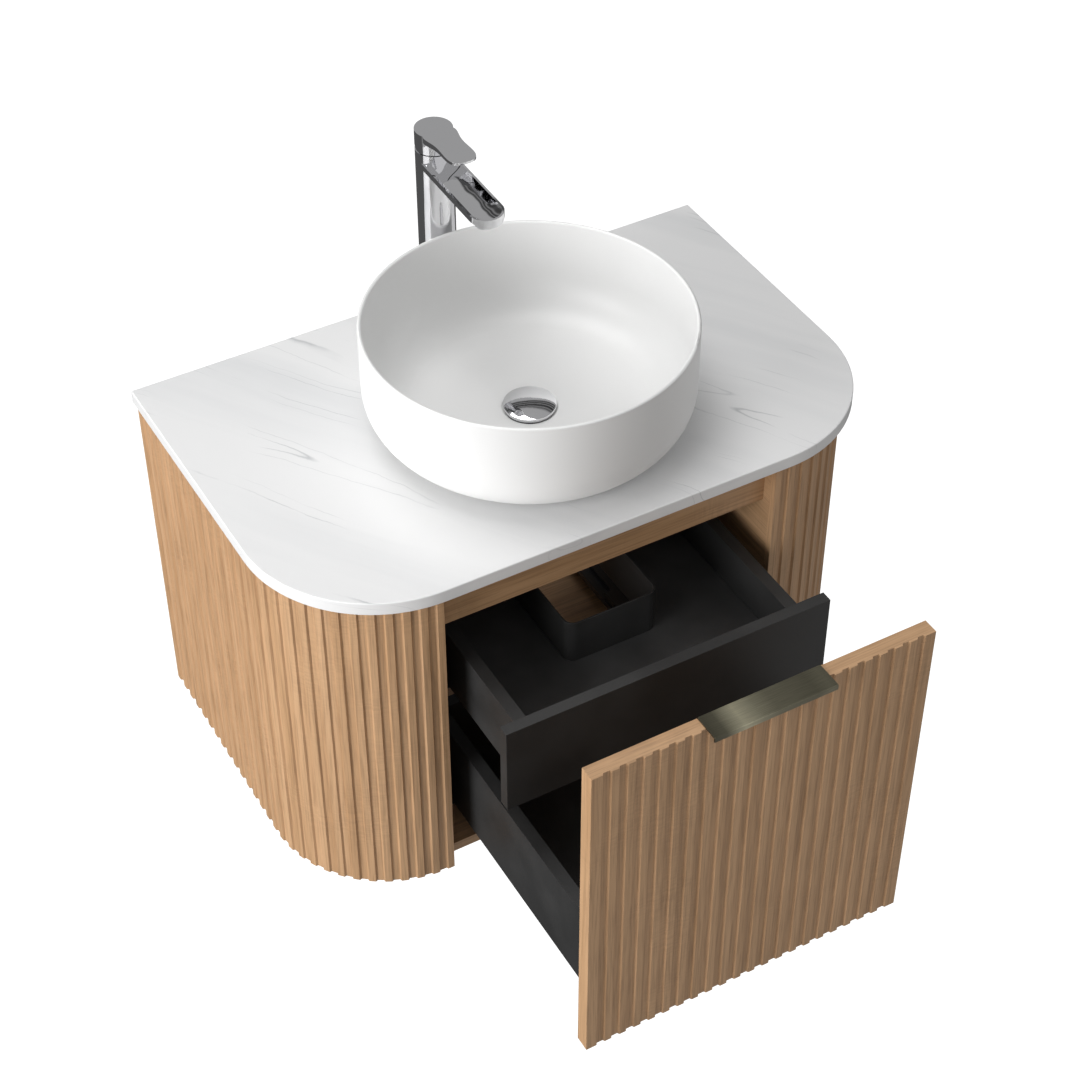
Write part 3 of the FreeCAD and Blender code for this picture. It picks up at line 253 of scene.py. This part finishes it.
STONE_EDGE = 0.6 * MM
VEIN_SLANT = math.radians(57)
VEIN_WANDER = 0.03
VEIN_STRETCH = 0.075
VEIN_COLOUR = (0.47, 0.48, 0.49, 1.0)
VEIN_LINES = ((0.0, 0.0), (0.484, 0.0), (0.489, 1.0), (0.494, 0.0), (0.562, 0.0),
              (0.566, 0.6), (0.57, 0.0), (1.0, 0.0))


def stone():
    """White stone with thin broken veins along one slant and a cloudy ground."""
    finish, shader, place = new_finish("white_stone", 0.38)
    slant = add(finish, "Mapping", {"Vector": place, "Rotation": (0, 0, VEIN_SLANT)})
    wander = add(finish, "TexNoise", {"Vector": slant.outputs["Vector"], "Scale": 5.0,
                                      "Detail": 6.0, "Roughness": 0.6})
    shift = add(finish, "VectorMath", {0: wander.outputs["Color"],
                                       1: (VEIN_WANDER, VEIN_WANDER, 0.0)},
                operation="MULTIPLY")
    bent = add(finish, "VectorMath", {0: slant.outputs["Vector"], 1: shift.outputs["Vector"]},
               operation="ADD").outputs["Vector"]
    squeezed = add(finish, "Mapping", {"Vector": bent, "Scale": (VEIN_STRETCH, 1.0, 1.0)})
    flow = squeezed.outputs["Vector"]
    lines = add(finish, "TexNoise", {"Vector": flow, "Scale": 14.0, "Detail": 1.0,
                                     "Roughness": 0.4})
    fine = tones(finish, lines.outputs["Fac"], *VEIN_LINES)
    gate = tones(finish, noise(finish, bent, scale=7.0, detail=3.0), (0.5, 0.0), (0.6, 1.0))
    vein = add(finish, "Math", {0: fine, 1: gate}, operation="MULTIPLY")
    ground = ramp(finish, noise(finish, flow, scale=9.0, detail=5.0),
                  (0.33, (0.7, 0.705, 0.71)), (0.5, (0.78, 0.78, 0.78)))
    veined = add(finish, "Mix", {"Factor": vein.outputs["Value"], "A": ground,
                                 "B": VEIN_COLOUR}, data_type="RGBA")
    feed(shader, "Base Color", veined.outputs["Result"])
    return finish


piece_from("countertop", STONE_EDGE, stone())

# ---- Basin ------------------------------------------------------------------------------
# One round vessel of white vitreous china with a silky matte glaze. Its rim is thin and
# rounded, and it stands on the countertop, held by the waste.


def raise_by(finish, shader, height, strength, depth):
    """Gives the surface a fine relief, depth metres at full strength."""
    bump = add(finish, "Bump", {"Height": height, "Strength": strength, "Distance": depth})
    feed(shader, "Normal", bump.outputs["Normal"])


GLAZE_WHITE = (0.8, 0.8, 0.795, 1.0)


def glaze():
    """Matte white glaze with a very slight waviness."""
    finish, shader, place = new_finish("matte_glaze", 0.3)
    shader.inputs["Base Color"].default_value = GLAZE_WHITE
    wave = noise(finish, place, scale=22.0, detail=2.0)
    raise_by(finish, shader, wave, strength=0.05, depth=2 * MM)
    feed(shader, "Roughness", tones(finish, wave, (0.3, 0.34), (0.7, 0.42)))
    return finish


piece_from("basin", 0, glaze(), smooth_angle=30.0)

# ---- Waste ------------------------------------------------------------------------------
# A chromed brass waste clamps the basin and the countertop together: flange and domed
# click cap above, rubber seals, a brass nut and the plain tail below.

CAP_EDGE = 0.5 * MM
FLANGE_EDGE = 0.3 * MM
PLATING = (0.8, 0.8, 0.815, 1.0)


def polished_chrome():
    """Bright plating with faint wipe marks over a slightly wavy casting."""
    finish, shader, place = new_finish("polished_chrome", 0.05, 1.0)
    shader.inputs["Base Color"].default_value = PLATING
    marks = noise(finish, place, scale=60.0, detail=4.0)
    feed(shader, "Roughness", tones(finish, marks, (0.35, 0.03), (0.75, 0.07)))
    waves = noise(finish, place, scale=34.0, detail=0.0)
    raise_by(finish, shader, waves, strength=1.0, depth=0.8 * MM)
    return finish


def machined(name, colour, roughness):
    """Turned metal with fine rings of tool marks."""
    finish, shader, place = new_finish(name, roughness, 1.0)
    rings = add(finish, "Mapping", {"Vector": place, "Scale": (0.05, 0.05, 1.0)})
    marks = noise(finish, rings.outputs["Vector"], scale=2500.0, detail=2.0)
    worn = [0.75 * part for part in colour]
    feed(shader, "Base Color", ramp(finish, marks, (0.3, worn), (0.7, colour)))
    raise_by(finish, shader, marks, strength=0.15, depth=0.2 * MM)
    return finish


def moulded(name, colour, roughness):
    """Rubber, plastic or paint with a fine grain."""
    finish, shader, place = new_finish(name, roughness)
    grain = noise(finish, place, scale=900.0, detail=3.0)
    darker = [0.85 * part for part in colour]
    feed(shader, "Base Color", ramp(finish, grain, (0.3, darker), (0.7, colour)))
    raise_by(finish, shader, grain, strength=0.1, depth=0.2 * MM)
    return finish


def refinish(nodes, finish):
    """Gives CAD pieces whose shape stays a better material."""
    for name in nodes:
        for holder in frame["nodes"][name].material_slots:
            holder.material = finish


chrome = polished_chrome()
brass = machined("turned_brass", (0.72, 0.55, 0.28), 0.32)
rubber = moulded("black_rubber", (0.03, 0.03, 0.03), 0.7)
piece_from("drain_cap", CAP_EDGE, chrome)
piece_from("drain_body", FLANGE_EDGE, chrome)
refinish(["drain_nut"], brass)
refinish(["drain_seal", "drain_washer"], rubber)

# ---- Tap --------------------------------------------------------------------------------
# A tall single-lever tap of chromed brass: column and flat spout in one casting, a loose
# paddle lever on a turning carrier, and brass fixings under the countertop.

CASTING_EDGE = 0.5 * MM
LEVER_EDGE = 0.7 * MM
CASTING_SMOOTH = 38.0
piece_from("tap_body", CASTING_EDGE, chrome, smooth_angle=CASTING_SMOOTH)
piece_from("tap_lever", LEVER_EDGE, chrome, smooth_angle=CASTING_SMOOTH)
piece_from("tap_aerator", CASTING_EDGE, chrome)
piece_from("tap_carrier", 0, chrome)
refinish(["tap_shank", "tap_nut", "tap_risers"], brass)
refinish(["tap_retainer"], chrome)
refinish(["tap_seal", "tap_washer"], rubber)
refinish(["tap_cartridge"], moulded("cartridge_plastic", (0.6, 0.6, 0.56), 0.5))

# ---- Fluted skins and the cabinet's boards ----------------------------------------------
# Oak-veneered boards with a matt lacquer. The skins are bent round the front corners and
# milled with slats, and the grain follows the slats; on the rails it runs level.

BOARD_EDGE = 0.5 * MM
SLAT_EDGE = 0.35 * MM
SLAT_SMOOTH = 20.0
SIDES = ("left", "right")
OAK_LIGHT = (0.555, 0.341, 0.186)
OAK_MIDDLE = (0.5, 0.303, 0.161)
OAK_DARK = (0.432, 0.253, 0.128)
PORE_DARK = (0.8, 0.785, 0.77)
PORE_LIGHT = (1.03, 1.03, 1.03)
GRAIN_STRETCH = 0.035
RIPPLE_SQUEEZE = 9.0
BANDING_TURN = 0.7


def oak(name, along):
    """Oak veneer: its grain runs along axis 0 X, 1 Y or 2 Z, and on end faces the next."""
    finish, shader, place = new_finish(name, 0.5)

    def scaled(axis, scale):
        stretch = [1.0, 1.0, 1.0]
        stretch[axis] = scale
        return add(finish, "Mapping", {"Vector": place, "Scale": stretch}).outputs["Vector"]

    end = [0.0, 0.0, 0.0]
    end[along] = 1.0
    facing = add(finish, "VectorMath", {0: place.node.outputs["Normal"], 1: end},
                 operation="DOT_PRODUCT")
    turned = add(finish, "Math", {0: facing.outputs["Value"]}, operation="ABSOLUTE")
    banding = add(finish, "Math", {0: turned.outputs["Value"], 1: BANDING_TURN},
                  operation="GREATER_THAN")
    fibres = add(finish, "Mix", {"Factor": banding.outputs["Value"],
                                 "A": scaled(along, GRAIN_STRETCH),
                                 "B": scaled((along + 1) % 3, GRAIN_STRETCH)},
                 data_type="VECTOR").outputs["Result"]
    figure = add(finish, "TexNoise", {"Vector": fibres, "Scale": 60.0, "Detail": 5.0,
                                      "Roughness": 0.55, "Distortion": 0.25}).outputs["Fac"]
    colour = ramp(finish, figure, (0.32, OAK_DARK), (0.5, OAK_MIDDLE), (0.68, OAK_LIGHT))
    pores = noise(finish, fibres, scale=420.0, detail=4.0)
    grained = add(finish, "Mix", {"Factor": 1.0, "A": colour,
                                  "B": ramp(finish, pores, (0.34, PORE_DARK), (0.54, PORE_LIGHT))},
                  data_type="RGBA", blend_type="MULTIPLY")
    ripple = noise(finish, scaled(along, RIPPLE_SQUEEZE), scale=40.0, detail=2.0)
    patch = noise(finish, place, scale=11.0, detail=1.0)
    figured = add(finish, "Mix", {"Factor": tones(finish, patch, (0.5, 0.0), (0.68, 0.35)),
                                  "A": grained.outputs["Result"],
                                  "B": tones(finish, ripple, (0.4, 0.8), (0.6, 1.08))},
                  data_type="RGBA", blend_type="MULTIPLY")
    feed(shader, "Base Color", figured.outputs["Result"])
    raise_by(finish, shader, pores, strength=0.25, depth=0.25 * MM)
    feed(shader, "Roughness", tones(finish, figure, (0.3, 0.46), (0.7, 0.58)))
    return finish


oak_upright = oak("oak_upright_grain", 2)
oak_level = oak("oak_level_grain", 0)
oak_deep = oak("oak_front_to_back_grain", 1)
for side in SIDES:
    piece_from("skin_" + side, SLAT_EDGE, oak_upright, smooth_angle=SLAT_SMOOTH,
               segments=1)
    piece_from("partition_" + side, BOARD_EDGE, oak_deep)
    piece_from("side_base_" + side, BOARD_EDGE, oak_level)
    piece_from("side_back_" + side, BOARD_EDGE, oak_level)
for board in ("front_rail", "hanging_rail", "lower_rail", "bottom_panel"):
    piece_from(board, BOARD_EDGE, oak_level)

# ---- Deep drawer's front and handle -----------------------------------------------------
# The front is one board, milled like the skins and edged with the same veneer. The edge
# pull is a bent strip of steel, brushed along its length and darkened like gunmetal.

PULL_EDGE = 0.35 * MM
PULL_DARK = (0.34, 0.318, 0.225)
PULL_LIGHT = (0.445, 0.415, 0.296)
# Painted reflection: the pull's colour is made lighter and darker in bands along its length, with
# a painted highlight about a quarter of the way from its left end.
PULL_PAINTED_REFLECTION = ((0.0, 0.3), (0.1, 0.42), (0.25, 1.6), (0.4, 0.95), (0.52, 0.62), (0.84, 0.48),
               (0.95, 0.62), (1.0, 0.55))


def gunmetal():
    """Darkened steel, brushed along its length, with a painted reflection: bands of light and dark
    from end to end.
    """
    finish, shader, place = new_finish("brushed_gunmetal_painted_reflection", 0.3, 1.0)
    stretched = add(finish, "Mapping", {"Vector": place, "Scale": (0.03, 1.0, 1.0)})
    lines = noise(finish, stretched.outputs["Vector"], scale=1400.0, detail=3.0)
    tint = ramp(finish, lines, (0.3, PULL_DARK), (0.7, PULL_LIGHT))
    left_end, right_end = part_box("handle")
    spot = add(finish, "SeparateXYZ", {"Vector": place})
    along = add(finish, "MapRange", {"Value": spot.outputs["X"], "From Min": left_end.x,
                                     "From Max": right_end.x})
    # Painted reflection along the pull's length, multiplied into its brushed tint.
    tone = tones(finish, along.outputs["Result"], *PULL_PAINTED_REFLECTION)
    tint_with_painted_reflection = add(finish, "Mix", {"Factor": 1.0, "A": tint, "B": tone}, data_type="RGBA",
                blend_type="MULTIPLY")
    feed(shader, "Base Color", tint_with_painted_reflection.outputs["Result"])
    raise_by(finish, shader, lines, strength=0.12, depth=0.1 * MM)
    return finish


piece_from("lower_front", SLAT_EDGE, oak_upright, segments=1)
piece_from("handle", PULL_EDGE, gunmetal())

# ---- Drawer boxes -----------------------------------------------------------------------
# Both boxes and the low drawer's front are chipboard with matt black melamine, edged in
# the same colour. The recess for the trap is lined with a bent black plastic strip.

LINING_EDGE = 0.3 * MM


def melamine(name, shade, roughness):
    """Black foil with a faint pressed texture and light scuffs."""
    finish, shader, place = new_finish(name, roughness)
    cloud = noise(finish, place, scale=14.0, detail=6.0)
    feed(shader, "Base Color", tones(finish, cloud, (0.35, 0.8 * shade), (0.7, 1.25 * shade)))
    grain = noise(finish, place, scale=700.0, detail=3.0)
    raise_by(finish, shader, grain, strength=0.12, depth=0.2 * MM)
    scuffs = tones(finish, cloud, (0.3, roughness - 0.05), (0.7, roughness + 0.08))
    feed(shader, "Roughness", scuffs)
    return finish


black_foil = melamine("black_melamine", 0.02, 0.5)
# Painted light: the drawer floors get a lighter copy of the same black foil, standing in for light
# that falls on them.
floor_foil_painted_lighter = melamine("black_foil_painted_lighter_for_floors", 0.042, 0.45)
black_lining = melamine("black_lining", 0.03, 0.4)
for board in ("lower_back", "inner_front"):
    piece_from(board, BOARD_EDGE, black_foil)
for board in ("lower_bottom", "inner_bottom"):
    # The floors take the lighter copy of the black foil, which is painted light.
    piece_from(board, BOARD_EDGE, floor_foil_painted_lighter)
for side in SIDES:
    for board in ("lower_side_", "inner_side_", "inner_back_"):
        piece_from(board + side, BOARD_EDGE, black_foil)
piece_from("inner_recess", LINING_EDGE, black_lining)

# ---- Runners, brackets and screws -------------------------------------------------------
# The runners are pressed steel with a black electro-coat; the brackets and screws that
# hold them and the boards are zinc-plated, like the tap's hidden pin and stem.

ZINC_DULL = (0.45, 0.46, 0.48)
ZINC_BRIGHT = (0.62, 0.63, 0.65)


def zinc():
    """Zinc plate with its dull cloudy bloom."""
    finish, shader, place = new_finish("zinc_plate", 0.4, 1.0)
    bloom = noise(finish, place, scale=90.0, detail=5.0)
    feed(shader, "Base Color", ramp(finish, bloom, (0.35, ZINC_DULL), (0.7, ZINC_BRIGHT)))
    feed(shader, "Roughness", tones(finish, bloom, (0.3, 0.3), (0.7, 0.48)))
    return finish


refinish(["carcass_screws", "runner_screws", "lower_screws", "inner_fixings", "front_brackets",
          "tap_pivot", "tap_stem"], zinc())
black_coat = moulded("black_electro_coat", (0.022, 0.022, 0.024), 0.4)
refinish(["lower_middle", "inner_middle"], black_coat)
for side in SIDES:
    refinish([part + side for part in ("lower_runner_", "inner_runner_", "lower_slide_",
                                       "inner_slide_")], black_coat)
